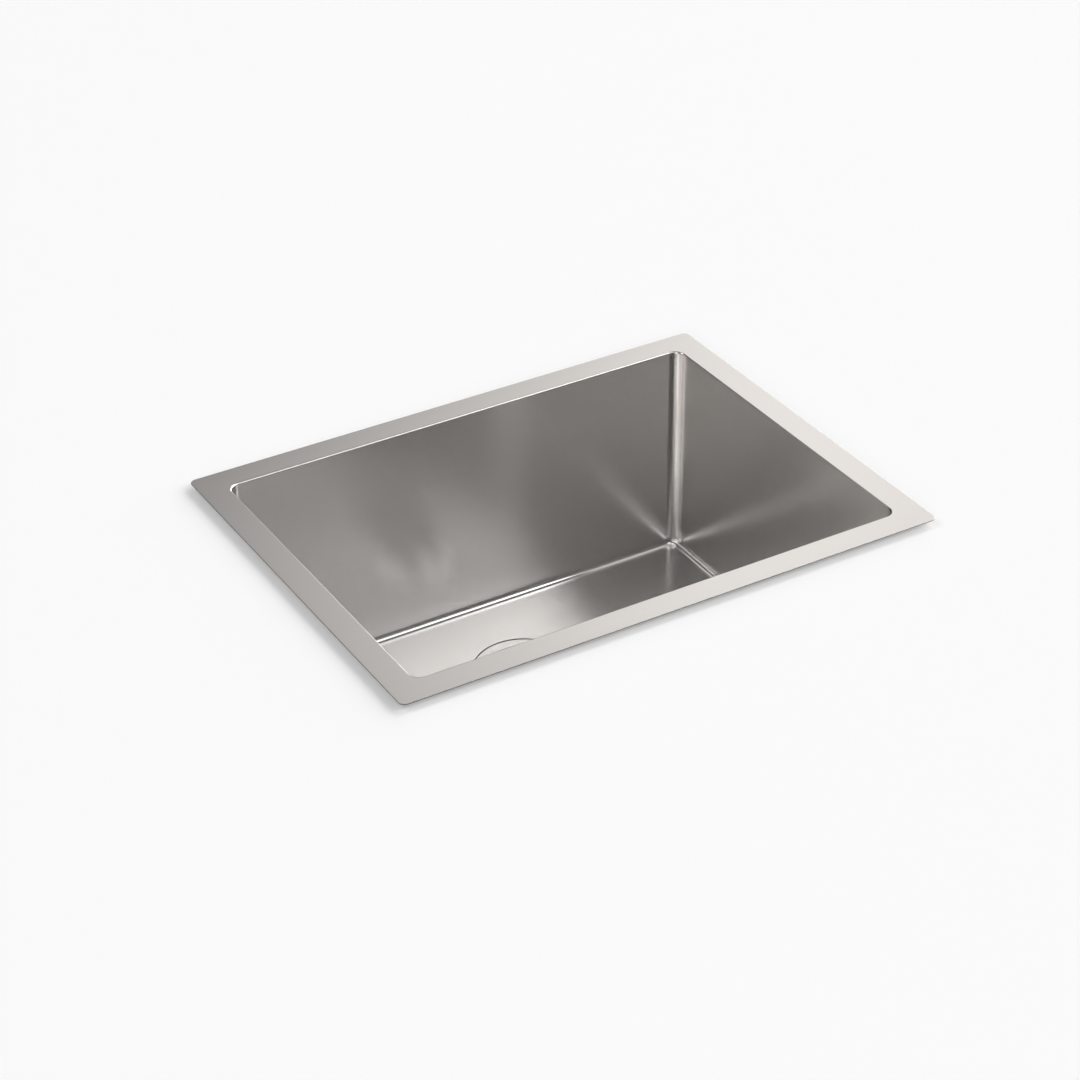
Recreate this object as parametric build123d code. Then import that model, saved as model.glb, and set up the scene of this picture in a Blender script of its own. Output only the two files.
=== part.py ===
"""Single-bowl undermount kitchen sink in stainless steel, with a basket strainer in its drain.

Millimetres. The origin is the middle of the rim's top face, +X runs to the right along the long
side, +Y to the back and +Z up.
"""
from build123d import *
import os
from math import sqrt, tan, radians

# Bowl and rim, one pressed and welded sheet
rim_length = 609.6
rim_width = 457.2
rim_corner_radius = 7.0
flange_width = 30.0
sheet = 1.2
bowl_depth = 252.0
corner_radius = 12.0
floor_radius = 7.5
lip_radius = 1.8

# Floor, falling to a drain set behind the middle
floor_fall = 1.0
floor_border = 3.0
drain_setback = 75.0
drain_land = 124.0
seat_radius = 55.0
seat_width = 10.0
seat_depth = 3.0

# Rubber pads stuck to the outside against drumming
pad_thickness = 4.0
pad_corner_radius = 12.0
pad_drop = 45.0
wall_pad_height = 150.0
wall_pad_end_margin = 60.0
base_pad_margin = 34.0
base_pad_gap = 22.0

# Strainer body, drawn sheet with a threaded outlet
strainer_sheet = 1.2
flange_play = 1.0
hole_play = 2.8
flange_seal_thickness = 1.0
strainer_bend = 1.6
ledge_width = 4.0
cup_floor_slope = 18.0
outlet_radius = 23.6
outlet_bore_radius = 18.5
outlet_length = 22.0

# Clamping stack under the bowl
under_washer_thickness = 3.0
friction_ring_thickness = 1.5
washer_width = 8.5
locknut_height = 10.0
locknut_width = 14.0
locknut_lugs = 8
locknut_lug_width = 12.0
locknut_lug_reach = 3.5
locknut_lug_radius = 2.0
locknut_drop = 0.7
thread_play = 0.2

# Lift-out basket
basket_sheet = 0.8
basket_bend = 2.0
basket_depth = 15.0
basket_play = 0.8
slot_count = 12
slot_width = 3.6
slot_height = 7.0
floor_hole_radius = 2.6
floor_hole_rows = ((14.0, 6), (24.0, 12))

# Drop-centre stopper on its post
post_radius = 3.2
post_play = 0.05
push_fit_play = 0.03
hub_radius = 6.0
hub_flange_width = 3.0
hub_top_flange = 2.0
hub_bottom_flange = 1.5
stopper_travel = 9.0
collar_radius = 7.5
collar_thickness = 2.0
stopper_radius = 25.0
stopper_thickness = 6.0
stopper_bevel = 4.0
stopper_washer_radius = 9.0
stopper_washer_thickness = 1.0
stopper_nut_flats = 10.0
stopper_nut_height = 5.0
post_tip = 2.0
knob_radius = 11.0
knob_height = 10.0
knob_cap_height = 5.0
knob_neck_radius = 6.0
knob_neck_height = 3.0
knob_bend = 1.8
knob_crown = 4.0
knob_recess = 4.0

# Free gap between a moving piece and what it sits on
seat_gap = 0.3

# Heights and radii that follow from the sizes above
bowl_length = rim_length - 2 * flange_width
bowl_width = rim_width - 2 * flange_width
land_z = -(bowl_depth + floor_fall)
seat_z = land_z - seat_depth
seat_under_z = seat_z - sheet
drain_hole_radius = seat_radius - seat_width
strainer_flange_radius = seat_radius - flange_play
cup_radius = drain_hole_radius - hole_play
cup_bore_radius = cup_radius - strainer_sheet
flange_top_z = seat_z + flange_seal_thickness + strainer_sheet
lower_bore_radius = cup_bore_radius - ledge_width
friction_top_z = seat_under_z - under_washer_thickness
locknut_top_z = friction_top_z - friction_ring_thickness
ledge_z = locknut_top_z + locknut_drop + strainer_sheet
basket_lip_z = ledge_z + seat_gap + basket_sheet
basket_floor_z = basket_lip_z - basket_depth
basket_wall_radius = lower_bore_radius - basket_play
hub_top_z = basket_floor_z + hub_top_flange
hub_bottom_z = basket_floor_z - basket_sheet - hub_bottom_flange
collar_top_z = hub_bottom_z - seat_gap - stopper_travel
stopper_top_z = collar_top_z - collar_thickness
stopper_bottom_z = stopper_top_z - stopper_thickness
stopper_nut_top_z = stopper_bottom_z - stopper_washer_thickness
post_bottom_z = stopper_nut_top_z - stopper_nut_height - post_tip
seat_top_radius = stopper_radius + strainer_bend
seat_top_z = stopper_bottom_z - seat_gap * sqrt(2) + stopper_bevel + strainer_bend
seat_low_z = seat_top_z - (seat_top_radius - outlet_bore_radius)
cup_floor_z = seat_top_z + (lower_bore_radius - seat_top_radius) * tan(radians(cup_floor_slope))
knob_top_z = flange_top_z - knob_recess
knob_bottom_z = knob_top_z - knob_height
post_top_z = knob_top_z - knob_crown
drain_place = Pos(0, drain_setback, 0)


def upright_block(length, width, corner, low, high):
    """A block with rounded upright edges, between two heights."""
    outline = Pos(0, 0, low) * RectangleRounded(length, width, corner)
    return extrude(outline, high - low)


def turned(outline):
    """A closed outline of radius and height, turned about the drain's axis."""
    return drain_place * revolve(Plane.XZ * outline, Axis.Z)


def disc(radius, low, high):
    """A round disc or rod about the drain's axis."""
    return drain_place * extrude(Pos(0, 0, low) * Circle(radius), high - low)


def ring(inner, outer, low, high):
    """A flat ring about the drain's axis."""
    return disc(outer, low, high) - disc(inner, low, high)


def drawn_sheet(inside, thickness):
    """The outline of a drawn sheet: its inside line of radius and height, thickened outwards."""
    return make_face(offset(inside, amount=thickness, side=Side.LEFT, kind=Kind.INTERSECTION))


def rectangle_corners(length, width, middle):
    """The four corners of a level rectangle, in turn."""
    sides = ((-1, -1), (1, -1), (1, 1), (-1, 1))
    return [middle + Vector(x * length / 2, y * width / 2) for x, y in sides]


def hopper(top, bottom):
    """A flat-sided funnel between two level rectangles."""
    rings = [Face(Wire.make_polygon(corners)) for corners in (top, bottom)]
    sides = [
        Face(Wire.make_polygon([top[i - 1], top[i], bottom[i], bottom[i - 1]])) for i in range(len(top))
    ]
    return Solid(Shell(rings + sides))


def bowl_volume(grow):
    """The space in the bowl, pushed outwards all round by a sheet's thickness."""
    bowl = upright_block(
        bowl_length + 2 * grow, bowl_width + 2 * grow, corner_radius + grow, -bowl_depth - grow, 0
    )
    bowl = fillet(bowl.faces().sort_by(Axis.Z)[0].edges(), floor_radius + grow)
    inset = 2 * (floor_radius + floor_border)
    floor_edge = rectangle_corners(bowl_length - inset, bowl_width - inset, Vector(0, 0, -bowl_depth - grow))
    land_edge = rectangle_corners(drain_land, drain_land, Vector(0, drain_setback, land_z - grow))
    seat = disc(seat_radius + grow, seat_z - grow, land_z - grow)
    return bowl + hopper(floor_edge, land_edge) + seat


def bowl_shell():
    """Rim, walls and floor in one sheet, with the bend between rim and walls rolled over."""
    rim = upright_block(rim_length, rim_width, rim_corner_radius, -sheet, 0)
    shell = rim + bowl_volume(sheet) - bowl_volume(0)
    shell -= disc(drain_hole_radius, seat_under_z - sheet, land_z)
    rim_top = shell.faces().sort_by(Axis.Z)[-1]
    shell = fillet(rim_top.inner_wires()[0].edges(), lip_radius)
    rim_faces = shell.faces().filter_by(Axis.Z).filter_by_position(Axis.Z, -1.5 * sheet, -sheet / 2)
    return fillet(rim_faces[0].inner_wires()[0].edges(), lip_radius - sheet)


def wall_pad(wall_length, wall_offset, turn):
    """A pad on the outside of one wall."""
    outline = RectangleRounded(wall_length - 2 * wall_pad_end_margin, wall_pad_height, pad_corner_radius)
    middle_z = -pad_drop - wall_pad_height / 2
    wall_face = Plane.XZ * outline
    pad = extrude(Pos(0, -wall_offset - sheet, middle_z) * wall_face, pad_thickness)
    return Rot(0, 0, turn) * pad


def base_pad(left, right, front, back):
    """A pad under the floor, following its fall."""
    outline = RectangleRounded(right - left, back - front, pad_corner_radius)
    block = extrude(Pos((left + right) / 2, (front + back) / 2, seat_under_z - pad_thickness) * outline,
                    floor_fall + seat_depth + pad_thickness)
    return block & (Pos(0, 0, -pad_thickness) * bowl_volume(sheet)) - bowl_volume(sheet)


def strainer_body():
    """Flanged cup with a ledge for the basket and a sloping seat for the stopper."""
    rolled = FilletPolyline(
        (strainer_flange_radius, flange_top_z),
        (cup_bore_radius, flange_top_z),
        (cup_bore_radius, ledge_z),
        radius=strainer_bend,
    )
    stepped = Polyline(
        (cup_bore_radius, ledge_z),
        (lower_bore_radius, ledge_z),
        (lower_bore_radius, cup_floor_z),
        (seat_top_radius, seat_top_z),
        (outlet_bore_radius, seat_low_z),
    )
    return turned(drawn_sheet(rolled + stepped, strainer_sheet))


def strainer_outlet():
    """Threaded outlet fixed under the cup, its top cut to the seat's slope."""
    collar_top = seat_low_z + (outlet_radius - outlet_bore_radius)
    tube = ring(outlet_bore_radius, outlet_radius, seat_low_z - outlet_length, collar_top)
    funnel = drain_place * Pos(0, 0, (seat_low_z + seat_top_z) / 2) * Cone(
        outlet_bore_radius, seat_top_radius, seat_top_z - seat_low_z
    )
    return tube - funnel - strainer_body()


def locknut():
    """Ring nut with lugs round it for a wrench."""
    bore = lower_bore_radius + strainer_sheet + thread_play
    outer = bore + locknut_width
    lug = RectangleRounded(2 * locknut_lug_reach + locknut_width, locknut_lug_width, locknut_lug_radius)
    outline = Circle(outer) + PolarLocations(outer - locknut_width / 2, locknut_lugs) * lug
    low = Pos(0, 0, locknut_top_z - locknut_height)
    return drain_place * extrude(low * (outline - Circle(bore)), locknut_height)


def basket_cup():
    """Lift-out cup with a lip, slots round its wall and rings of holes in its floor."""
    hub_hole = hub_radius + push_fit_play
    inside = Line(
        (cup_bore_radius - basket_play, basket_lip_z), (basket_wall_radius - basket_sheet, basket_lip_z)
    )
    inside += FilletPolyline(
        (basket_wall_radius - basket_sheet, basket_lip_z),
        (basket_wall_radius - basket_sheet, basket_floor_z),
        (hub_hole, basket_floor_z),
        radius=basket_bend,
    )
    cup = revolve(Plane.XZ * drawn_sheet(inside, basket_sheet), Axis.Z)
    slot = Plane.YZ * SlotOverall(slot_height, slot_width, rotation=90)
    slot_z = (basket_lip_z + basket_floor_z) / 2
    cutter = Pos(0, 0, slot_z) * extrude(slot, basket_wall_radius + basket_sheet)
    cup -= [Rot(0, 0, 360 * turn / slot_count) * cutter for turn in range(slot_count)]
    for row_radius, count in floor_hole_rows:
        holes = Sketch() + PolarLocations(row_radius, count) * Circle(floor_hole_radius)
        cup -= extrude(Pos(0, 0, basket_floor_z - 2 * basket_sheet) * holes, 3 * basket_sheet)
    return drain_place * cup


def hub_bush():
    """Flanged bush snapped into the basket's floor, which grips the post."""
    bore = post_radius + post_play
    flange = hub_radius + hub_flange_width
    bush = ring(bore, hub_radius, hub_bottom_z, hub_top_z)
    bush += ring(bore, flange, basket_floor_z, hub_top_z)
    return bush + ring(bore, flange, hub_bottom_z, basket_floor_z - basket_sheet)


def post():
    """Rod with a collar that the stopper is clamped against."""
    rod = disc(post_radius, post_bottom_z, post_top_z)
    return rod + disc(collar_radius, stopper_top_z, collar_top_z)


def knob():
    """Turned knob with a waist, pushed onto the post's top."""
    cap_low_z = knob_top_z - knob_cap_height
    side = FilletPolyline(
        (0, knob_top_z), (knob_radius, knob_top_z), (knob_radius, cap_low_z), radius=knob_bend
    )
    side += Polyline(
        (knob_radius, cap_low_z),
        (knob_neck_radius, knob_bottom_z + knob_neck_height),
        (knob_neck_radius, knob_bottom_z),
        (0, knob_bottom_z),
        (0, knob_top_z),
    )
    return turned(make_face(side)) - disc(post_radius + push_fit_play, knob_bottom_z, post_top_z)


def stopper_seal():
    """Rubber disc with a bevelled edge that drops onto the strainer's seat."""
    bore = post_radius + push_fit_play
    outline = make_face(Polyline(
        (bore, stopper_top_z),
        (stopper_radius, stopper_top_z),
        (stopper_radius, stopper_bottom_z + stopper_bevel),
        (stopper_radius - stopper_bevel, stopper_bottom_z),
        (bore, stopper_bottom_z),
        close=True,
    ))
    return turned(outline)


def stopper_nut():
    """Hexagon nut that holds the stopper on the post."""
    outline = RegularPolygon(stopper_nut_flats / 2, 6, major_radius=False) - Circle(post_radius + push_fit_play)
    low = Pos(0, 0, stopper_nut_top_z - stopper_nut_height)
    return drain_place * extrude(low * outline, stopper_nut_height)


def sink_nodes():
    """Every piece of the sink under its own name."""
    pad_side = bowl_length / 2 - base_pad_margin
    pad_front = -bowl_width / 2 + base_pad_margin
    pad_back = bowl_width / 2 - base_pad_margin
    pad_inner = drain_land / 2 + base_pad_gap
    washer_bore = cup_radius + flange_play
    rod_bore = post_radius + push_fit_play
    return {
        "bowl_shell": bowl_shell(),
        "wall_pad_front": wall_pad(bowl_length, bowl_width / 2, 0),
        "wall_pad_back": wall_pad(bowl_length, bowl_width / 2, 180),
        "wall_pad_left": wall_pad(bowl_width, bowl_length / 2, -90),
        "wall_pad_right": wall_pad(bowl_width, bowl_length / 2, 90),
        "base_pad_left": base_pad(-pad_side, -pad_inner, pad_front, pad_back),
        "base_pad_right": base_pad(pad_inner, pad_side, pad_front, pad_back),
        "base_pad_front": base_pad(
            -drain_land / 2, drain_land / 2, pad_front, drain_setback - pad_inner
        ),
        "strainer_body": strainer_body(),
        "strainer_outlet": strainer_outlet(),
        "flange_seal": ring(
            drain_hole_radius, strainer_flange_radius - flange_play, seat_z, seat_z + flange_seal_thickness
        ),
        "under_washer": ring(washer_bore, washer_bore + washer_width, friction_top_z, seat_under_z),
        "friction_ring": ring(washer_bore, washer_bore + washer_width, locknut_top_z, friction_top_z),
        "strainer_locknut": locknut(),
        "basket_cup": basket_cup(),
        "hub_bush": hub_bush(),
        "post": post(),
        "knob": knob(),
        "stopper_seal": stopper_seal(),
        "stopper_washer": ring(rod_bore, stopper_washer_radius, stopper_nut_top_z, stopper_bottom_z),
        "stopper_nut": stopper_nut(),
    }


def main():
    os.makedirs("parts", exist_ok=True)
    for name, solid in sink_nodes().items():
        export_step(solid, f"parts/{name}.step")


if __name__ == "__main__":
    main()
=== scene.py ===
from math import cos, log, pi, radians, sin, tan
import bmesh
import bpy
from mathutils import Matrix, Vector


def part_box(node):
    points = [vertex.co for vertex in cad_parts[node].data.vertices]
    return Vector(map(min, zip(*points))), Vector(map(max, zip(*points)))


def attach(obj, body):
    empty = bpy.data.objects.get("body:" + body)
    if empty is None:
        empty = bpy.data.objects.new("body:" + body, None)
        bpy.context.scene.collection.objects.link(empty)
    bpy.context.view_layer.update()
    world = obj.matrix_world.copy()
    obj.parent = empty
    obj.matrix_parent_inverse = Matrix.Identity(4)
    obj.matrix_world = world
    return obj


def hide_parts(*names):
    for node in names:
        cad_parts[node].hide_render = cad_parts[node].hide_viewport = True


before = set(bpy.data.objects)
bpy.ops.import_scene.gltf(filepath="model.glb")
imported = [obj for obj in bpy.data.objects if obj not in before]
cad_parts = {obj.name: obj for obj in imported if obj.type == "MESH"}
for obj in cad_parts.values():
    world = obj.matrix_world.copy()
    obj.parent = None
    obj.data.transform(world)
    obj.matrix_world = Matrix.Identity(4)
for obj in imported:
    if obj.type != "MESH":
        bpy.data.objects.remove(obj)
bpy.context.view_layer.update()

# Bowl and rim. One sheet of stainless steel, pressed and welded, with brushed walls, a satin floor and
# rim, a sheared edge that is dull cut steel darkened far below steel's own tone as painted shade, and
# its dull mill finish outside. The worktop carries it by the rim.
shell_low, shell_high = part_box("bowl_shell")
rim_length = shell_high.x - shell_low.x
rim_width = shell_high.y - shell_low.y
flange_width = 0.030
rim_corner = 0.007
sheet = 0.0012
bowl_length = rim_length - 2 * flange_width
bowl_width = rim_width - 2 * flange_width
bowl_depth = 0.252
wall_corner = 0.012
floor_radius = 0.0075
lip_radius = 0.0018
drain_y = 0.075
seat_radius = 0.055
seat_depth = 0.003
land_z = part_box("flange_seal")[0].z + seat_depth
drain_hole_radius = 0.045
corner_steps = 17
outline_points = 4 * (corner_steps + 1)
bend_steps = 8
floor_rows = 24
edge_break = 0.00025
sharp_turn = radians(60)
wall_slope = 0.3
near = 1e-5


def pick(piece, kind, test):
    """In edit mode, leaves selected only those verts, edges or faces of a piece that pass a test."""
    bpy.ops.mesh.select_mode(type=kind)
    bpy.ops.mesh.select_all(action="DESELECT")
    net = bmesh.from_edit_mesh(piece.data)
    for item in {"VERT": net.verts, "EDGE": net.edges, "FACE": net.faces}[kind]:
        if test(item):
            item.select_set(True)
    bmesh.update_edit_mesh(piece.data)


def level(item, height):
    """Whether every corner of an edge or face is at one height."""
    return all(abs(corner.co.z - height) < near for corner in item.verts)


def in_bowl(corner):
    """Whether a corner lies within the bowl's opening, seen from above."""
    return abs(corner.co.x) < bowl_length / 2 + near and abs(corner.co.y) < bowl_width / 2 + near


def rounded_outline(length, width, corner, height):
    """Adds the edges of a level rectangle with rounded corners."""
    bpy.ops.mesh.primitive_plane_add(size=1, location=(0, 0, height))
    if bpy.context.mode == "OBJECT":
        bpy.ops.object.mode_set(mode="EDIT")
    bpy.ops.transform.resize(value=(length, width, 1), center_override=(0, 0, height))
    bpy.ops.mesh.bevel(offset=corner, segments=corner_steps, affect="VERTICES")
    bpy.ops.mesh.delete(type="ONLY_FACE")


def apply_modifier(piece, kind, **settings):
    """Adds a modifier to the active piece, sets it and applies it."""
    modifier = piece.modifiers.new(kind.lower(), kind)
    for name, value in settings.items():
        setattr(modifier, name, value)
    bpy.ops.object.modifier_apply(modifier=modifier.name)


bpy.ops.object.select_all(action="DESELECT")
rounded_outline(rim_length, rim_width, rim_corner, 0)
bowl = bpy.context.object
bowl.name = "sink_bowl"
rounded_outline(bowl_length, bowl_width, wall_corner, 0)
bpy.ops.mesh.select_all(action="SELECT")
bpy.ops.mesh.bridge_edge_loops()
pick(bowl, "EDGE", lambda edge: edge.is_boundary and all(in_bowl(corner) for corner in edge.verts))
bpy.ops.mesh.extrude_edges_move(TRANSFORM_OT_translate={"value": (0, 0, -bowl_depth)})
bpy.ops.mesh.edge_face_add()
pick(bowl, "EDGE", lambda edge: level(edge, -bowl_depth))
bpy.ops.mesh.bevel(offset=floor_radius, segments=bend_steps, affect="EDGES")
pick(bowl, "FACE", lambda face: level(face, -bowl_depth))
bpy.ops.mesh.delete(type="ONLY_FACE")
bpy.ops.mesh.primitive_circle_add(
    vertices=outline_points, radius=seat_radius, location=(0, drain_y, land_z),
    rotation=(0, 0, pi / outline_points)
)
pick(bowl, "EDGE", lambda edge: level(edge, land_z) or (level(edge, -bowl_depth) and edge.is_boundary))
bpy.ops.mesh.bridge_edge_loops(number_cuts=floor_rows, interpolation="LINEAR")
pick(bowl, "EDGE", lambda edge: level(edge, land_z))
bpy.ops.mesh.extrude_edges_move(TRANSFORM_OT_translate={"value": (0, 0, -seat_depth)})
bpy.ops.mesh.extrude_edges_move()
hole_scale = drain_hole_radius / seat_radius
bpy.ops.transform.resize(value=(hole_scale, hole_scale, 1), center_override=(0, drain_y, 0))
pick(
    bowl, "EDGE",
    lambda edge: level(edge, 0) and not edge.is_boundary and abs(edge.calc_face_angle(0)) > sharp_turn
)
bpy.ops.mesh.bevel(offset=lip_radius, segments=bend_steps, affect="EDGES")
bpy.ops.mesh.select_all(action="SELECT")
bpy.ops.mesh.normals_make_consistent(inside=False)
bpy.ops.object.mode_set(mode="OBJECT")
rim_face = max(bowl.data.polygons, key=lambda face: face.center.z)
if rim_face.normal.z < 0:
    bowl.data.flip_normals()
bpy.ops.object.shade_smooth()


def new_material(name):
    """A node material and its surface shader."""
    material = bpy.data.materials.new(name)
    material.use_nodes = True
    return material, material.node_tree, material.node_tree.nodes["Principled BSDF"]


def add_node(tree, kind, links=(), **settings):
    """Adds a node, sets it, and links sockets into its inputs by number or name."""
    node = tree.nodes.new(kind)
    for name, value in settings.items():
        setattr(node, name, value)
    for socket, source in links:
        if isinstance(source, bpy.types.NodeSocket):
            tree.links.new(source, node.inputs[socket])
        else:
            node.inputs[socket].default_value = source
    return node


def on_numbers(tree, operation, *values, **settings):
    """Reckons with numbers or number sockets."""
    return add_node(
        tree, "ShaderNodeMath", list(enumerate(values)), operation=operation, **settings
    ).outputs[0]


def on_vectors(tree, operation, *values):
    """Reckons with vectors or vector sockets."""
    return add_node(
        tree, "ShaderNodeVectorMath", list(enumerate(values)), operation=operation
    ).outputs


def noise(tree, place, scale, detail):
    """Cloudy noise between 0 and 1, with a number of clouds to the metre."""
    return add_node(
        tree, "ShaderNodeTexNoise", [("Vector", place), ("Scale", scale), ("Detail", detail)]
    ).outputs["Fac"]


def ranged(tree, value, low, high, start=0.0, end=1.0):
    """Stretches a value's range from start to end over a range from low to high."""
    return add_node(
        tree, "ShaderNodeMapRange", [(0, value), (1, start), (2, end), (3, low), (4, high)]
    ).outputs[0]


def blend(tree, share, first, second):
    """Mixes two colours by a share."""
    return add_node(
        tree, "ShaderNodeMix", [("Factor", share), (6, (*first, 1)), (7, (*second, 1))], data_type="RGBA"
    ).outputs[2]


def dress(tree, shader, tint, rough, relief=None, metallic=0.0):
    """Links a colour, a roughness and a relief into a surface shader."""
    tree.links.new(tint, shader.inputs["Base Color"])
    tree.links.new(rough, shader.inputs["Roughness"])
    if relief:
        tree.links.new(relief, shader.inputs["Normal"])
    shader.inputs["Metallic"].default_value = metallic


def brushed_steel(name, colour, roughness, drawn_out):
    """Steel with long fine streaks along its grain, and highlights drawn out across them."""
    streaks_along = 6
    streaks_across = 900
    unevenness = 0.03
    dulling = 0.97
    side_limit = 0.6
    material, tree, shader = new_material(name)
    place = add_node(tree, "ShaderNodeTexCoord").outputs["Object"]
    facing = add_node(tree, "ShaderNodeNewGeometry").outputs["True Normal"]
    sideways = add_node(tree, "ShaderNodeSeparateXYZ", [(0, facing)]).outputs["X"]
    on_side = on_numbers(tree, "GREATER_THAN", on_numbers(tree, "ABSOLUTE", sideways), side_limit)
    grain = add_node(
        tree, "ShaderNodeMix", [("Factor", on_side), (4, (1, 0, 0)), (5, (0, 1, 0))], data_type="VECTOR"
    ).outputs[1]
    across = on_vectors(tree, "CROSS_PRODUCT", facing, grain)[0]
    streaks = []
    for stretch in (
        (streaks_along, streaks_across, streaks_across), (streaks_across, streaks_along, streaks_across)
    ):
        spot = on_vectors(tree, "MULTIPLY", place, stretch)[0]
        streaks.append(noise(tree, spot, scale=1.0, detail=3.0))
    streak = add_node(
        tree, "ShaderNodeMix", [("Factor", on_side), (2, streaks[0]), (3, streaks[1])]
    ).outputs[0]
    rough = ranged(tree, streak, low=roughness - unevenness, high=roughness + unevenness)
    dull = [channel * dulling for channel in colour]
    dress(tree, shader, blend(tree, streak, dull, colour), rough, metallic=1.0)
    tree.links.new(across, shader.inputs["Tangent"])
    shader.inputs["Anisotropic"].default_value = drawn_out
    return material


satin_tint = (0.768, 0.753, 0.740)
bowl_finishes = {
    # tint, roughness, how far highlights are drawn out
    "floor_steel": (satin_tint, 0.18, 0.0),
    "wall_steel": (satin_tint, 0.21, 0.75),
    "rim_steel": ((0.790, 0.752, 0.722), 0.18, 0.0),
    # the sheared edge is rough cut steel, but its near-black tint is painted shade: the dark line of
    # shade along the rim's outer edge
    "sheared_edge_painted_shade": ((0.18, 0.175, 0.17), 0.5, 0.0),
    "mill_steel": ((0.60, 0.60, 0.59), 0.5, 0.0),
}
for name, finish in bowl_finishes.items():
    bowl.data.materials.append(brushed_steel(name, *finish))
slots = list(bowl_finishes)
for face in bowl.data.polygons:
    if abs(face.normal.z) < wall_slope:
        face.material_index = slots.index("wall_steel")
    elif face.center.z > -lip_radius:
        face.material_index = slots.index("rim_steel")
# the rim faces of the sheet take the sheared edge's finish, whose near-black tint is painted shade
apply_modifier(
    bowl, "SOLIDIFY", thickness=sheet, offset=-1, use_even_offset=True,
    material_offset=slots.index("mill_steel"),
    material_offset_rim=slots.index("sheared_edge_painted_shade") - slots.index("rim_steel")
)
apply_modifier(bowl, "BEVEL", width=edge_break, segments=2, limit_method="ANGLE", angle_limit=sharp_turn)
apply_modifier(bowl, "WEIGHTED_NORMAL", keep_sharp=True)
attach(bowl, "sink")
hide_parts("bowl_shell")

# Damping pads. Seven sheets of dense black rubber, cut with rounded corners and glued to the
# outside of the walls and under the floor, where they stop the thin steel from drumming.
pad_thickness = 0.004
pad_corner = 0.012
pad_edge = 0.0011
pad_grid = 0.012
crease_angle = radians(35)


def bump(tree, height, strength, depth):
    """Fine relief from a height."""
    return add_node(
        tree, "ShaderNodeBump", [("Height", height), ("Strength", strength), ("Distance", depth)]
    ).outputs[0]


def rubber(name, colour, bloom, grain_size):
    """Dull rubber: pale dusty bloom in soft patches over a fine moulded grain."""
    material, tree, shader = new_material(name)
    place = add_node(tree, "ShaderNodeTexCoord").outputs["Object"]
    patch = noise(tree, place, scale=28.0, detail=4.0)
    grain = noise(tree, place, scale=1 / grain_size, detail=2.0)
    dusty = ranged(tree, patch, low=0.0, high=1.0, start=0.4, end=0.75)
    rough = ranged(tree, grain, low=0.62, high=0.86)
    relief = bump(tree, grain, strength=0.35, depth=grain_size / 5)
    dress(tree, shader, blend(tree, dusty, colour, bloom), rough, relief)
    return material


def finish_piece(piece, material, body, node):
    """Gives a new piece its finish and its place in the frame."""
    piece.data.materials.clear()
    piece.data.materials.append(material)
    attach(piece, body)
    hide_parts(node)


def soften_edges(piece, width, steps=3, angle=crease_angle):
    """Breaks a piece's sharp edges and smooths its shading."""
    bpy.ops.object.shade_smooth()
    apply_modifier(
        piece, "BEVEL", width=width, segments=steps, limit_method="ANGLE", angle_limit=angle
    )
    apply_modifier(piece, "WEIGHTED_NORMAL", keep_sharp=True)


def pad_outline(node, length, width):
    """A flat face with rounded corners, left in edit mode, for the pad of a node."""
    bpy.ops.object.select_all(action="DESELECT")
    rounded_outline(length, width, pad_corner, 0)
    outline = bpy.context.object
    outline.name = node + "_sheet"
    bpy.ops.mesh.select_all(action="SELECT")
    bpy.ops.mesh.edge_face_add()
    return outline


pad_rubber = rubber("pad_rubber", (0.035, 0.035, 0.036), (0.075, 0.075, 0.074), 0.0009)
wall_turns = {"front": 0, "right": 90, "back": 180, "left": 270}
for side, turn in wall_turns.items():
    node = "wall_pad_" + side
    low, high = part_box(node)
    along = high.x - low.x if turn % 180 == 0 else high.y - low.y
    middle = (low + high) / 2
    pad = pad_outline(node, along, high.z - low.z)
    bpy.ops.mesh.extrude_region_move(TRANSFORM_OT_translate={"value": (0, 0, pad_thickness)})
    bpy.ops.mesh.select_all(action="SELECT")
    bpy.ops.mesh.normals_make_consistent(inside=False)
    bpy.ops.object.mode_set(mode="OBJECT")
    outward = Vector((sin(radians(turn)), -cos(radians(turn)), 0))
    pad.rotation_euler = (pi / 2, 0, radians(turn))
    pad.location = middle - outward * pad_thickness / 2
    bpy.ops.object.transform_apply(location=True, rotation=True, scale=True)
    soften_edges(pad, pad_edge)
    finish_piece(pad, pad_rubber, "sink", node)

for side in ("left", "right", "front"):
    node = "base_pad_" + side
    low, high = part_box(node)
    size = high - low
    middle = (low + high) / 2
    pad = pad_outline(node, size.x, size.y)
    for axis in (0, 1):
        cuts = int(size[axis] / pad_grid)
        for cut in range(1, cuts):
            point = Vector((0, 0, 0))
            point[axis] = size[axis] * (cut / cuts - 0.5)
            square = Vector((0, 0, 0))
            square[axis] = 1
            bpy.ops.mesh.select_all(action="SELECT")
            bpy.ops.mesh.bisect(plane_co=point, plane_no=square)
    bpy.ops.object.mode_set(mode="OBJECT")
    pad.location = (middle.x, middle.y, low.z - pad_thickness)
    bpy.ops.object.transform_apply(location=True, rotation=True, scale=True)
    apply_modifier(
        pad, "SHRINKWRAP", target=bowl, wrap_method="PROJECT", use_project_z=True,
        use_negative_direction=False, use_positive_direction=True
    )
    if pad.data.polygons[0].normal.z < 0:
        pad.data.flip_normals()
    apply_modifier(pad, "SOLIDIFY", thickness=pad_thickness, offset=-1)
    soften_edges(pad, pad_edge, angle=sharp_turn)
    finish_piece(pad, pad_rubber, "sink", node)

# Flange seal. A flat ring of soft black sealant, squeezed between the drain's seat and the
# strainer's flange.
turn_steps = 144
seal_edge = 0.0003


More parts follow.
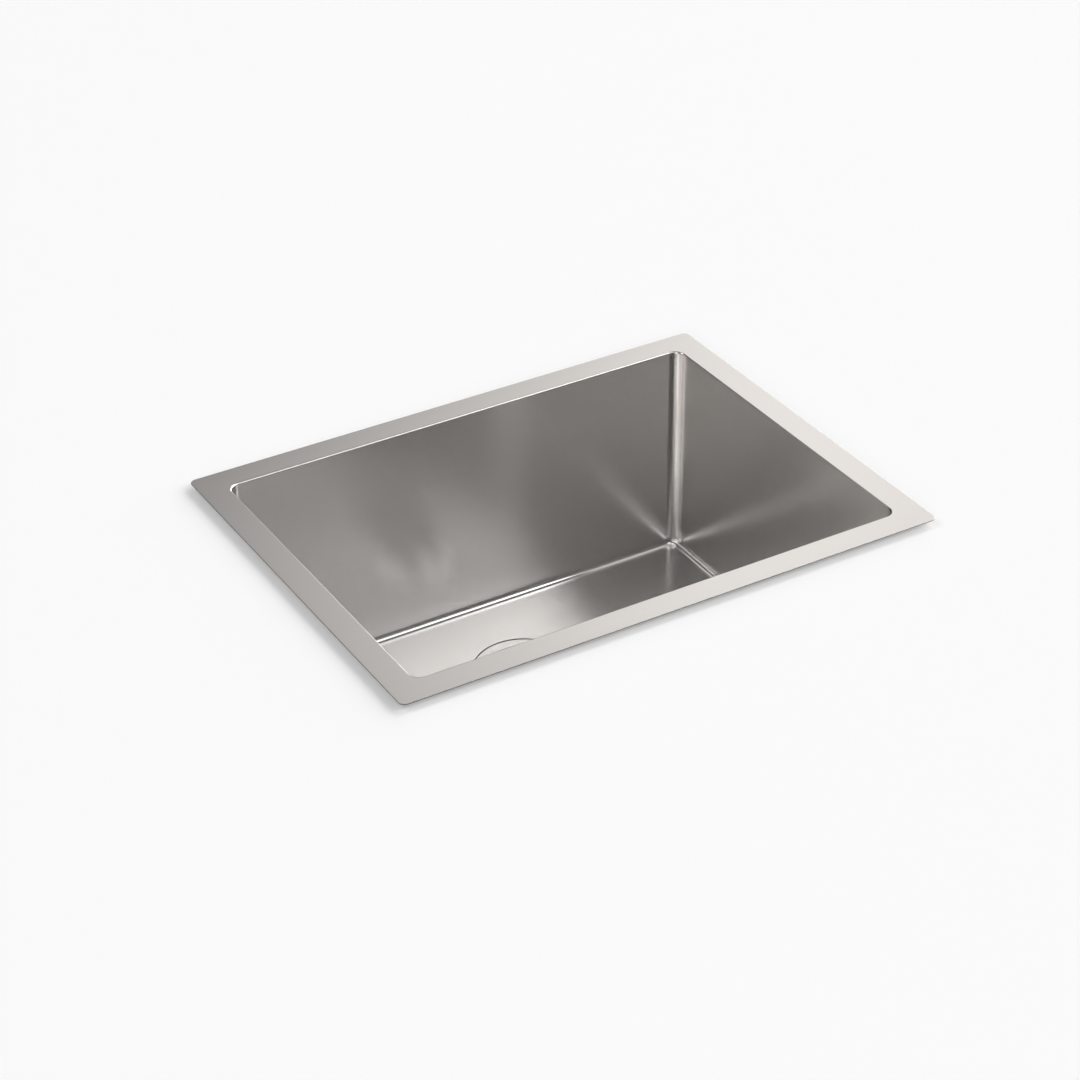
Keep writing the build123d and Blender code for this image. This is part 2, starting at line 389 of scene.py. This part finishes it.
def turned(name, outline, ends):
    """Turns an outline of radius and height about the drain's axis, ring by ring. Its ends are left
    open, capped flat, or joined to each other."""
    radius, z = outline[0]
    bpy.ops.object.select_all(action="DESELECT")
    bpy.ops.mesh.primitive_circle_add(
        vertices=turn_steps, radius=radius, location=(0, drain_y, z), rotation=(0, 0, pi / turn_steps)
    )
    piece = bpy.context.object
    piece.name = name
    bpy.ops.object.transform_apply(location=True, rotation=True, scale=True)
    bpy.ops.object.mode_set(mode="EDIT")
    bpy.ops.mesh.select_all(action="SELECT")
    rings = outline + outline[:1] if ends == "joined" else outline
    for (last_radius, last_z), (radius, z) in zip(rings, rings[1:]):
        bpy.ops.mesh.extrude_edges_move(TRANSFORM_OT_translate={"value": (0, 0, z - last_z)})
        growth = radius / last_radius
        bpy.ops.transform.resize(value=(growth, growth, 1), center_override=(0, drain_y, z))
    if ends == "capped":
        for end_z in (outline[0][1], outline[-1][1]):
            pick(piece, "EDGE", lambda edge: edge.is_boundary and level(edge, end_z))
            bpy.ops.mesh.edge_face_add()
    bpy.ops.mesh.select_all(action="SELECT")
    bpy.ops.mesh.remove_doubles(threshold=near / 10)
    bpy.ops.mesh.normals_make_consistent(inside=False)
    bpy.ops.object.mode_set(mode="OBJECT")
    return piece


def flat_ring(name, node, bore):
    """A flat ring with a given bore, in the place of a node."""
    low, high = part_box(node)
    outer = (high.x - low.x) / 2
    return turned(name, [(bore, low.z), (outer, low.z), (outer, high.z), (bore, high.z)], "joined")


seal_rubber = rubber("seal_rubber", (0.055, 0.055, 0.056), (0.095, 0.095, 0.093), 0.0006)
flange_seal = flat_ring("flange_seal_ring", "flange_seal", drain_hole_radius)
soften_edges(flange_seal, seal_edge)
finish_piece(flange_seal, seal_rubber, "sink", "flange_seal")

# Strainer body. A deep cup drawn from stainless sheet, with a flange that lies in the drain's
# recess, a ledge that carries the basket and a sloping seat for the stopper.
strainer_low, strainer_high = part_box("strainer_body")
flange_radius = (strainer_high.x - strainer_low.x) / 2
flange_top_z = strainer_high.z
strainer_sheet = 0.0012
strainer_bend = 0.0016
cup_bore = 0.041
ledge_drop = 0.006
ledge_z = flange_top_z - ledge_drop
lower_bore = 0.037
outlet_bore = 0.0185
seat_slope = radians(45)
seat_top_radius = 0.0266
cup_floor_slope = radians(18)
seat_low = (outlet_bore, strainer_low.z + strainer_sheet * cos(seat_slope))
seat_top = (seat_top_radius, seat_low[1] + seat_top_radius - outlet_bore)
cup_floor_z = seat_top[1] + (lower_bore - seat_top_radius) * tan(cup_floor_slope)
sheet_edge_break = 0.0002
polish_ring = 0.0005


def turned_steel(name, colour, roughness, ring_size):
    """Bright steel with the fine rings that spinning and polishing leave round its axis."""
    unevenness = 0.05
    dulling = 0.93
    smear_share = 0.4
    material, tree, shader = new_material(name)
    place = add_node(tree, "ShaderNodeTexCoord").outputs["Object"]
    flat = on_vectors(tree, "MULTIPLY_ADD", place, (1, 1, 0), (0, -drain_y, 0))[0]
    radius = on_vectors(tree, "LENGTH", flat)["Value"]
    height = add_node(tree, "ShaderNodeSeparateXYZ", [(0, place)]).outputs["Z"]
    run = on_numbers(tree, "SUBTRACT", radius, height)
    count = on_numbers(tree, "MULTIPLY", run, 1 / ring_size)
    rings = add_node(
        tree, "ShaderNodeTexNoise", [("W", count), ("Scale", 1.0), ("Detail", 3.0)],
        noise_dimensions="1D"
    ).outputs["Fac"]
    smear = noise(tree, place, scale=45.0, detail=3.0)
    wear = add_node(tree, "ShaderNodeMix", [("Factor", smear_share), (2, rings), (3, smear)]).outputs[0]
    rough = ranged(
        tree, wear, low=roughness - unevenness, high=roughness + unevenness, start=0.3, end=0.7
    )
    dull = [channel * dulling for channel in colour]
    relief = bump(tree, rings, strength=0.12, depth=ring_size / 6)
    dress(tree, shader, blend(tree, wear, dull, colour), rough, relief, metallic=1.0)
    return material


def axis_distance(point):
    """How far a point is from the drain's axis."""
    return Vector((point.x, point.y - drain_y)).length


def round_bend(piece, radius, z, bend):
    """Rounds the bend of a turned sheet at one ring."""
    bpy.ops.object.mode_set(mode="EDIT")
    pick(
        piece, "EDGE", lambda edge: level(edge, z) and all(
            abs(axis_distance(corner.co) - radius) < near for corner in edge.verts
        )
    )
    bpy.ops.mesh.bevel(offset=bend, segments=bend_steps, affect="EDGES")
    bpy.ops.object.mode_set(mode="OBJECT")


def thicken(piece, thickness):
    """Gives a turned sheet its thickness, away from its upper side."""
    highest = max(piece.data.polygons, key=lambda face: face.center.z)
    if highest.normal.z < 0:
        piece.data.flip_normals()
    apply_modifier(piece, "SOLIDIFY", thickness=thickness, offset=-1, use_even_offset=True)


strainer_steel = turned_steel("strainer_steel", (0.75, 0.74, 0.73), 0.5, polish_ring)
flange_steel = turned_steel("flange_steel", (0.780, 0.766, 0.752), 0.2, polish_ring)
strainer = turned("strainer_cup", [
    (flange_radius, flange_top_z), (cup_bore, flange_top_z), (cup_bore, ledge_z),
    (lower_bore, ledge_z), (lower_bore, cup_floor_z), seat_top, seat_low,
], "open")
round_bend(strainer, cup_bore, flange_top_z, strainer_bend)
thicken(strainer, strainer_sheet)
soften_edges(strainer, sheet_edge_break, steps=2)
finish_piece(strainer, strainer_steel, "sink", "strainer_body")
strainer.data.materials.append(flange_steel)
for face in strainer.data.polygons:
    on_flange = axis_distance(face.center) > cup_bore + strainer_bend
    face.material_index = 1 if on_flange else 0

# Strainer outlet. A turned brass tube brazed under the cup, threaded outside for the waste pipe's
# coupling nut.
outlet_low, outlet_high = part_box("strainer_outlet")
outlet_radius = (outlet_high.x - outlet_low.x) / 2
seat_outer = (
    seat_low[0] + strainer_sheet * sin(seat_slope), seat_low[1] - strainer_sheet * cos(seat_slope)
)
thread_pitch = 0.0023
thread_depth = 0.0009
thread_turns = 7
thread_start = 0.0012


def metal(name, colour, shade, roughness, patch_size, grain_size, relief_depth):
    """Bare metal with soft patches of tarnish and a fine surface grain."""
    unevenness = 0.06
    material, tree, shader = new_material(name)
    place = add_node(tree, "ShaderNodeTexCoord").outputs["Object"]
    patch = noise(tree, place, scale=1 / patch_size, detail=4.0)
    grain = noise(tree, place, scale=1 / grain_size, detail=2.0)
    stain = ranged(tree, patch, low=0.0, high=1.0, start=0.35, end=0.7)
    rough = ranged(
        tree, patch, low=roughness - unevenness, high=roughness + unevenness, start=0.3, end=0.7
    )
    relief = bump(tree, grain, strength=0.25, depth=relief_depth)
    dress(tree, shader, blend(tree, stain, colour, shade), rough, relief, metallic=1.0)
    return material


brass = metal(
    "turned_brass", (0.78, 0.60, 0.30), (0.60, 0.43, 0.20), roughness=0.28,
    patch_size=0.012, grain_size=0.0006, relief_depth=0.00004
)
thread = []
for turn in range(thread_turns):
    crest_z = outlet_low.z + thread_start + turn * thread_pitch
    thread += [(outlet_radius - thread_depth, crest_z - thread_pitch / 2), (outlet_radius, crest_z)]
thread.append((outlet_radius - thread_depth, thread[-1][1] + thread_pitch / 2))
shoulder_z = thread[-1][1] + thread_pitch / 2
outlet = turned("strainer_tube", [
    (outlet_bore, outlet_low.z), (outlet_radius - thread_depth, outlet_low.z), *thread[1:],
    (outlet_radius, shoulder_z), (outlet_radius, seat_outer[1] + outlet_radius - seat_outer[0]),
    seat_outer, seat_low,
], "joined")
soften_edges(outlet, sheet_edge_break, steps=2)
finish_piece(outlet, brass, "sink", "strainer_outlet")

# Under washer and friction ring. A soft rubber washer against the bowl's underside and a thin ring
# of pressed fibre below it, on which the locknut turns.
washer_bore = 0.0432
washer_edge = 0.0006
board_edge = 0.0002
fibre_grain = 0.0007


def pressed_fibre(name, colour, fibre):
    """Brown board with short pale fibres lying in all directions."""
    material, tree, shader = new_material(name)
    place = add_node(tree, "ShaderNodeTexCoord").outputs["Object"]
    blur = noise(tree, place, scale=60.0, detail=5.0)
    flake = add_node(
        tree, "ShaderNodeTexNoise",
        [("Vector", place), ("Scale", 1 / fibre_grain), ("Detail", 4.0), ("Distortion", 1.5)]
    ).outputs["Fac"]
    pale = ranged(tree, flake, low=0.0, high=1.0, start=0.45, end=0.7)
    rough = ranged(tree, blur, low=0.75, high=0.95)
    relief = bump(tree, flake, strength=0.5, depth=fibre_grain / 4)
    dress(tree, shader, blend(tree, pale, colour, fibre), rough, relief)
    return material


under_washer = flat_ring("under_washer_ring", "under_washer", washer_bore)
soften_edges(under_washer, washer_edge)
finish_piece(under_washer, seal_rubber, "sink", "under_washer")
fibre_board = pressed_fibre("pressed_fibre", (0.36, 0.27, 0.17), (0.54, 0.44, 0.31))
friction_ring = flat_ring("friction_ring_board", "friction_ring", washer_bore)
soften_edges(friction_ring, board_edge)
finish_piece(friction_ring, fibre_board, "sink", "friction_ring")

# Locknut. A ring of die-cast zinc screwed up the outside of the cup, with eight lugs for a wrench.
# It clamps the bowl between the strainer's flange and the rings above it.
locknut_low, locknut_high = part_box("strainer_locknut")
locknut_bore = 0.0384
locknut_outer = 0.0524
lug_count = 8
lug_half_angle = radians(6.5)
lug_crease = radians(50)
locknut_edge = 0.0008
lug_reach = (locknut_high.x - locknut_low.x) / 2 - locknut_outer


def on_lug(face):
    """Whether a face is on the nut's outside, where a lug stands."""
    middle = face.calc_center_median()
    step = 2 * pi / lug_count
    angle = Vector((middle.x, middle.y - drain_y)).angle_signed(Vector((1, 0)))
    from_lug = abs((angle + step / 2) % step - step / 2)
    outside = axis_distance(middle) > (locknut_bore + locknut_outer) / 2
    return abs(face.normal.z) < near and outside and from_lug < lug_half_angle


locknut = turned("locknut_ring", [
    (locknut_bore, locknut_low.z), (locknut_outer, locknut_low.z), (locknut_outer, locknut_high.z),
    (locknut_bore, locknut_high.z),
], "joined")
bpy.ops.object.mode_set(mode="EDIT")
pick(locknut, "FACE", on_lug)
bpy.ops.mesh.extrude_region_shrink_fatten(TRANSFORM_OT_shrink_fatten={"value": lug_reach})
bpy.ops.object.mode_set(mode="OBJECT")
soften_edges(locknut, locknut_edge, angle=lug_crease)
zinc = metal(
    "cast_zinc", (0.60, 0.60, 0.595), (0.46, 0.46, 0.46), roughness=0.42,
    patch_size=0.009, grain_size=0.0008, relief_depth=0.00012
)
finish_piece(locknut, zinc, "sink", "strainer_locknut")

# Basket. A cup pressed from thin stainless sheet, punched with slots round its wall and two rings of
# holes in its floor. It hangs by its lip on the strainer's ledge and lifts out.
basket_low, basket_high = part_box("basket_cup")
basket_sheet = 0.0008
basket_bend = 0.002
basket_lip = (basket_high.x - basket_low.x) / 2
basket_inside = 0.0354
basket_floor_z = basket_low.z + basket_sheet
hub_hole = 0.00603
slot_count = 12
slot_width = 0.0036
slot_height = 0.007
floor_hole = 0.0026
floor_hole_rows = ((0.014, 6), (0.024, 12))
cutter_steps = 24
punch_length = 0.006


def punch(radius, place, turn):
    """A round punch at a place: upright, or where it has a turn, lying outwards from the drain."""
    bpy.ops.object.select_all(action="DESELECT")
    bpy.ops.mesh.primitive_cylinder_add(vertices=cutter_steps, radius=radius, depth=punch_length)
    tool = bpy.context.object
    if turn is not None:
        tool.rotation_euler = (0, pi / 2, turn)
    tool.location = place
    bpy.ops.object.transform_apply(location=True, rotation=True, scale=True)
    return tool


def cut_away(piece, tools):
    """Cuts the shapes of some tools out of a piece and removes the tools."""
    bpy.ops.object.select_all(action="DESELECT")
    for tool in tools:
        tool.select_set(True)
    bpy.context.view_layer.objects.active = tools[0]
    if len(tools) > 1:
        bpy.ops.object.join()
    bpy.context.view_layer.objects.active = piece
    apply_modifier(piece, "BOOLEAN", operation="DIFFERENCE", object=tools[0], solver="EXACT")
    bpy.data.objects.remove(tools[0])


def smooth_shading(piece):
    """Smooths the shading of a cut piece up to its sharp edges."""
    bpy.ops.object.select_all(action="DESELECT")
    piece.select_set(True)
    bpy.ops.object.shade_smooth_by_angle(angle=crease_angle)


basket = turned("basket_sieve", [
    (basket_lip, basket_high.z), (basket_inside, basket_high.z), (basket_inside, basket_floor_z),
    (hub_hole, basket_floor_z),
], "open")
round_bend(basket, basket_inside, basket_floor_z, basket_bend)
thicken(basket, basket_sheet)
slot_z = (basket_high.z + basket_floor_z) / 2
punches = []
for number in range(slot_count):
    turn = 2 * pi * number / slot_count
    place = Vector((cos(turn) * basket_inside, drain_y + sin(turn) * basket_inside, slot_z))
    tool = punch(slot_width / 2, place, turn)
    bpy.ops.object.mode_set(mode="EDIT")
    for side in (-1, 1):
        pick(tool, "VERT", lambda corner: (corner.co.z - slot_z) * side > near)
        bpy.ops.transform.translate(value=(0, 0, side * (slot_height - slot_width) / 2))
    bpy.ops.object.mode_set(mode="OBJECT")
    punches.append(tool)
for row_radius, count in floor_hole_rows:
    for number in range(count):
        turn = 2 * pi * number / count
        place = Vector((cos(turn) * row_radius, drain_y + sin(turn) * row_radius, basket_floor_z))
        punches.append(punch(floor_hole, place, None))
cut_away(basket, punches)
smooth_shading(basket)
finish_piece(basket, strainer_steel, "basket", "basket_cup")

# Hub bush. A spool of pale moulded nylon, snapped into the middle of the basket's floor. It guides
# the post and grips it.
bush_low, bush_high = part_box("hub_bush")
bush_bore = 0.00325
bush_waist = 0.006
bush_flange = (bush_high.x - bush_low.x) / 2
bush_edge = 0.0003


def moulded_nylon(name, colour, stain):
    """Waxy moulded plastic, faintly clouded."""
    material, tree, shader = new_material(name)
    place = add_node(tree, "ShaderNodeTexCoord").outputs["Object"]
    cloud = noise(tree, place, scale=160.0, detail=4.0)
    grain = noise(tree, place, scale=2500.0, detail=1.0)
    rough = ranged(tree, grain, low=0.38, high=0.52)
    relief = bump(tree, grain, strength=0.15, depth=0.00005)
    dress(tree, shader, blend(tree, cloud, colour, stain), rough, relief)
    return material


nylon = moulded_nylon("moulded_nylon", (0.84, 0.84, 0.82), (0.74, 0.74, 0.71))
bush = turned("hub_spool", [
    (bush_bore, bush_low.z), (bush_flange, bush_low.z), (bush_flange, basket_low.z),
    (bush_waist, basket_low.z), (bush_waist, basket_floor_z), (bush_flange, basket_floor_z),
    (bush_flange, bush_high.z), (bush_bore, bush_high.z),
], "joined")
soften_edges(bush, bush_edge)
finish_piece(bush, nylon, "basket", "hub_bush")

# Post. A turned steel rod through the bush, with a collar above the stopper and a thread at its foot
# for the stopper's nut.
post_low, post_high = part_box("post")
post_radius = 0.0032
collar_radius = (post_high.x - post_low.x) / 2
collar_height = 0.002
stopper_top_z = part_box("stopper_seal")[1].z
collar_top_z = stopper_top_z + collar_height
post_chamfer = 0.0005
post_edge = 0.0001
post_thread_pitch = 0.0008
post_thread_depth = 0.0003
post_thread_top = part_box("stopper_washer")[0].z
post_outline = [(post_radius - post_chamfer, post_low.z)]
crest_z = post_low.z + post_chamfer
while crest_z < post_thread_top:
    post_outline += [
        (post_radius, crest_z), (post_radius - post_thread_depth, crest_z + post_thread_pitch / 2)
    ]
    crest_z += post_thread_pitch
post_outline += [
    (post_radius, crest_z), (post_radius, stopper_top_z), (collar_radius, stopper_top_z),
    (collar_radius, collar_top_z), (post_radius, collar_top_z), (post_radius, post_high.z),
]
post = turned("stopper_post", post_outline, "capped")
soften_edges(post, post_edge, steps=2)
finish_piece(post, strainer_steel, "stopper", "post")

# Knob. A turned and chromed cap with a drawn-in waist, pushed onto the top of the post to lift the
# stopper and the basket by.
knob_low, knob_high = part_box("knob")
knob_radius = (knob_high.x - knob_low.x) / 2
knob_neck = 0.006
knob_neck_height = 0.003
knob_cap_height = 0.005
knob_edge = 0.0018
knob_crown = 0.0004
knob_bore = 0.00323
knob_break = 0.0005
chrome = metal(
    "bright_chrome", (0.83, 0.83, 0.84), (0.78, 0.785, 0.80), roughness=0.08,
    patch_size=0.006, grain_size=0.0009, relief_depth=0.00001
)
cap_low_z = knob_high.z - knob_cap_height
knob = turned("lifting_knob", [
    (knob_bore, post_high.z), (knob_bore, knob_low.z), (knob_neck, knob_low.z),
    (knob_neck, knob_low.z + knob_neck_height), (knob_radius, cap_low_z),
    (knob_radius, knob_high.z - knob_crown), (knob_radius / 2, knob_high.z - knob_crown / 4),
    (knob_radius / 8, knob_high.z),
], "capped")
round_bend(knob, knob_radius, knob_high.z - knob_crown, knob_edge)
soften_edges(knob, knob_break)
finish_piece(knob, chrome, "stopper", "knob")

# Stopper. A bevelled disc of black rubber clamped under the post's collar by a steel washer and a
# brass nut. It drops onto the strainer's seat and closes the drain.
stopper_low, stopper_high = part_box("stopper_seal")
stopper_radius = (stopper_high.x - stopper_low.x) / 2
stopper_bevel = 0.004
stopper_edge = 0.0005
rod_bore = 0.00323
stopper_washer_edge = 0.0002
stopper_rubber = rubber("stopper_rubber", (0.04, 0.04, 0.041), (0.07, 0.07, 0.069), 0.0007)
stopper = turned("stopper_disc", [
    (rod_bore, stopper_low.z), (stopper_radius - stopper_bevel, stopper_low.z),
    (stopper_radius, stopper_low.z + stopper_bevel), (stopper_radius, stopper_high.z),
    (rod_bore, stopper_high.z),
], "joined")
soften_edges(stopper, stopper_edge)
finish_piece(stopper, stopper_rubber, "stopper", "stopper_seal")
stopper_washer = flat_ring("stopper_washer_ring", "stopper_washer", rod_bore)
soften_edges(stopper_washer, stopper_washer_edge)
finish_piece(stopper_washer, strainer_steel, "stopper", "stopper_washer")

nut_low, nut_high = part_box("stopper_nut")
nut_corner = (nut_high.x - nut_low.x) / 2
nut_sides = 6
nut_edge = 0.0004
nut_crease = radians(50)
nut_middle = Vector((0, drain_y, (nut_low.z + nut_high.z) / 2))
bpy.ops.object.select_all(action="DESELECT")
bpy.ops.mesh.primitive_cylinder_add(
    vertices=nut_sides, radius=nut_corner, depth=nut_high.z - nut_low.z,
    rotation=(0, 0, pi / nut_sides), location=nut_middle
)
nut = bpy.context.object
nut.name = "stopper_hex_nut"
bpy.ops.object.transform_apply(location=True, rotation=True, scale=True)
apply_modifier(nut, "BEVEL", width=nut_edge, segments=2, limit_method="ANGLE", angle_limit=nut_crease)
cut_away(nut, [punch(rod_bore, nut_middle, None)])
smooth_shading(nut)
finish_piece(nut, brass, "stopper", "stopper_nut")

# Pale surface a little below the rim, cut out for the bowl. It is one sided: from below it lets
# sight and light through. A faint glow in what is seen of it softens the rim's shadow.
surface_drop = 0.008
surface_size = 30.0
cut_inset = 0.024
surface_white = 0.93
surface_roughness = 0.9
surface_glow = 0.17
bpy.ops.object.select_all(action="DESELECT")
bpy.ops.mesh.primitive_plane_add(size=1, location=(0, 0, -surface_drop))
surface = bpy.context.object
surface.name = "pale_surface"
bpy.ops.object.mode_set(mode="EDIT")
cut = (rim_length - 2 * cut_inset, rim_width - 2 * cut_inset)
bpy.ops.transform.resize(value=(*cut, 1), center_override=(0, 0, -surface_drop))
bpy.ops.mesh.delete(type="ONLY_FACE")
bpy.ops.mesh.select_all(action="SELECT")
bpy.ops.mesh.extrude_edges_move()
bpy.ops.transform.resize(
    value=(surface_size / cut[0], surface_size / cut[1], 1), center_override=(0, 0, -surface_drop)
)
bpy.ops.mesh.select_all(action="SELECT")
bpy.ops.mesh.normals_make_consistent(inside=False)
bpy.ops.object.mode_set(mode="OBJECT")
if surface.data.polygons[0].normal.z < 0:
    surface.data.flip_normals()
bpy.ops.object.transform_apply(location=True, rotation=True, scale=True)
pale, tree, shader = new_material("pale_surface")
shader.inputs["Base Color"].default_value = (surface_white, surface_white, surface_white, 1)
shader.inputs["Roughness"].default_value = surface_roughness
light_path = add_node(tree, "ShaderNodeLightPath").outputs
seen = on_numbers(tree, "ADD", light_path["Is Camera Ray"], light_path["Is Glossy Ray"])
seen = on_numbers(tree, "ADD", seen, light_path["Is Transmission Ray"], use_clamp=True)
share = on_numbers(tree, "MULTIPLY", seen, surface_glow)
glow = add_node(tree, "ShaderNodeEmission", [("Strength", surface_white)])
lit = add_node(tree, "ShaderNodeMixShader", [(0, share), (1, shader.outputs[0]), (2, glow.outputs[0])])
under = add_node(tree, "ShaderNodeNewGeometry").outputs["Backfacing"]
clear = add_node(tree, "ShaderNodeBsdfTransparent")
one_sided = add_node(
    tree, "ShaderNodeMixShader", [(0, under), (1, lit.outputs[0]), (2, clear.outputs[0])]
)
tree.links.new(one_sided.outputs[0], tree.nodes["Material Output"].inputs["Surface"])
surface.data.materials.append(pale)

# Studio light. Soft panels of light hung in a dark room: the strong ones to the right, low at the front
# left and high at the back left, weaker ones in front, behind and overhead. What the camera sees of
# the room itself is plain white.
panels = (
    # turn from the back towards the right, rise, half width (degrees), strength
    (48, 15, 6, 9.3),
    (70, 38, 10, 8),
    (135, 45, 6, 7.3),
    (228, 15, 6, 7.3),
    (120, 30, 10, 6),
    (304, 46, 10, 5.5),
    (90, 14, 14, 4.5),
    (216, 15, 6, 4.5),
    (162, 55, 6, 4.4),
    (156, 25, 6, 4),
    (190, 48, 10, 1.7),
    (244, 60, 10, 1.6),
    (36, 35, 6, 0.85),
    (36, 25, 6, 0.75),
    (24, 35, 6, 0.45),
    (180, 80, 14, 0.5),
    (315, 22, 14, 0.2),
)
room_white = 0.95
world = bpy.data.worlds.new("white_room")
bpy.context.scene.world = world
world.use_nodes = True
tree = world.node_tree
way = add_node(tree, "ShaderNodeTexCoord").outputs["Generated"]
glow = 0.0
for turn, height, half_width, strength in panels:
    turn, height = radians(turn), radians(height)
    aim = (sin(turn) * cos(height), cos(turn) * cos(height), sin(height))
    sharpness = log(2) / (1 - cos(radians(half_width)))
    facing = on_vectors(tree, "DOT_PRODUCT", way, aim)["Value"]
    fall = on_numbers(tree, "MULTIPLY_ADD", facing, sharpness, -sharpness)
    panel = on_numbers(tree, "EXPONENT", fall)
    glow = on_numbers(tree, "MULTIPLY_ADD", panel, strength, glow)
looked_at = add_node(tree, "ShaderNodeLightPath").outputs["Is Camera Ray"]
backdrop = add_node(
    tree, "ShaderNodeMix", [("Factor", looked_at), (2, glow), (3, room_white)]
).outputs[0]
tree.links.new(backdrop, tree.nodes["Background"].inputs["Strength"])
tree.nodes["Background"].inputs["Color"].default_value = (1, 1, 1, 1)

# Camera at the photograph's angle, from the front left and above, placed so that the rim's corners
# fall where they are in the photograph.
view_turn = radians(-30.6014)
view_rise = radians(32.6942)
view_roll = radians(-0.4923)
view_distance = 2.77346
view_target = Vector((-0.055402, -0.056063, 0.0006))
back = Vector((sin(view_turn) * cos(view_rise), -cos(view_turn) * cos(view_rise), sin(view_rise)))
right = Vector((0, 0, 1)).cross(back).normalized()
up = back.cross(right)
rolled_right = cos(view_roll) * right + sin(view_roll) * up
rolled_up = back.cross(rolled_right)
camera = bpy.data.objects.new("camera", bpy.data.cameras.new("camera"))
bpy.context.scene.collection.objects.link(camera)
camera.data.sensor_width = 36.0
camera.data.lens = 93.4236
camera.data.clip_end = 100
camera.matrix_world = Matrix.Translation(view_target + view_distance * back) @ Matrix(
    (rolled_right, rolled_up, back)
).transposed().to_4x4()
bpy.context.scene.camera = camera
bpy.context.scene.view_settings.view_transform = "Standard"

bpy.context.view_layer.update()
